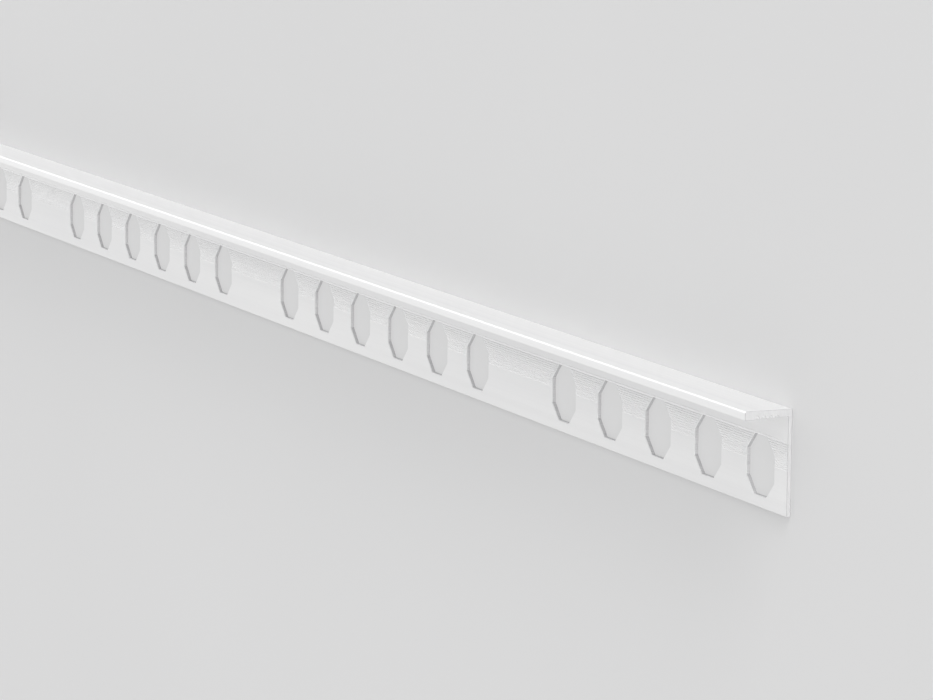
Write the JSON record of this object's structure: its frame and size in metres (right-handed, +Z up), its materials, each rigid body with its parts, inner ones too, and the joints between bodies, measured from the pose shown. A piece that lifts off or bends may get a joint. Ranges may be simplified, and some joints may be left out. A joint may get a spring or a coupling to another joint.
{
  "type": "tile edging profile",
  "caption": "L-section aluminium tile edging profile: a thin leg punched with octagonal holes and a short grooved flange with a thick chamfered nose.",
  "frame": {"origin": "on the floor under the middle of the bounding box, at the leg's underside", "axes": "+X along the length from the end nearest the picture's camera, +Y across the leg from the flange to the free edge, +Z up out of the leg's upper face"},
  "size_m": [1, 0.023, 0.011],
  "materials": {
    "aluminium": "satin, pale silver, with fine die lines along the length"
  },
  "bodies": {
    "root": {"tile_edging_profile": "aluminium"}
  },
  "joints": []
}
